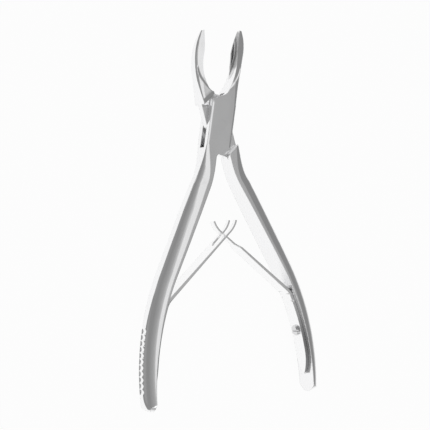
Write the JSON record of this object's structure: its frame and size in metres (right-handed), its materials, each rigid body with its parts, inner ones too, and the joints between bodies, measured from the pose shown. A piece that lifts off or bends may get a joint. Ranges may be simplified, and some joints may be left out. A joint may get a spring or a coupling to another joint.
{
  "type": "bone rongeur",
  "caption": "Single-action bone rongeur with a box joint, cupped curved jaws, a forked double leaf spring and scalloped grips.",
  "frame": {"origin": "on the pivot's axis, at the flat back face of the box joint", "axes": "+Y towards the jaws, +Z along the pivot out of the front cheek, the way the jaws curve, +X across to the female half's jaw"},
  "size_m": [0.0916, 0.1643, 0.014],
  "materials": {
    "forged_steel": "satin",
    "pin_steel": "satin",
    "spring_steel": "polished",
    "screw_steel": "polished"
  },
  "bodies": {
    "female": {"female_half": "forged_steel", "pivot_pin": "pin_steel", "forked_spring_screw": "screw_steel"},
    "male": {"male_half": "forged_steel", "tongued_spring_screw": "screw_steel"},
    "forked_leaf": {"forked_leaf_spring": "spring_steel"},
    "tongued_leaf": {"tongued_leaf_spring": "spring_steel"}
  },
  "joints": [
    {"name": "jaw_pivot", "type": "hinge", "parent": "female", "child": "male", "pos_m": [0, 0, 0.004], "axis": [0, 0, -1], "range_deg": [0, 25.2], "stiffness_Nm_per_rad": 0.6},
    {"name": "forked_leaf_bend", "type": "hinge", "parent": "female", "child": "forked_leaf", "pos_m": [-0.0333, -0.076, 0.004], "axis": [0, 0, 1], "range_deg": [0, 15.4], "deforming": ["forked_leaf_spring"]},
    {"name": "tongued_leaf_bend", "type": "hinge", "parent": "male", "child": "tongued_leaf", "pos_m": [0.0333, -0.076, 0.004], "axis": [0, 0, -1], "range_deg": [0, 15.4], "deforming": ["tongued_leaf_spring"]}
  ],
  "couplings": [
    {"joint": "forked_leaf_bend", "follows": "jaw_pivot", "ratio": 0.607},
    {"joint": "tongued_leaf_bend", "follows": "jaw_pivot", "ratio": 0.607}
  ]
}
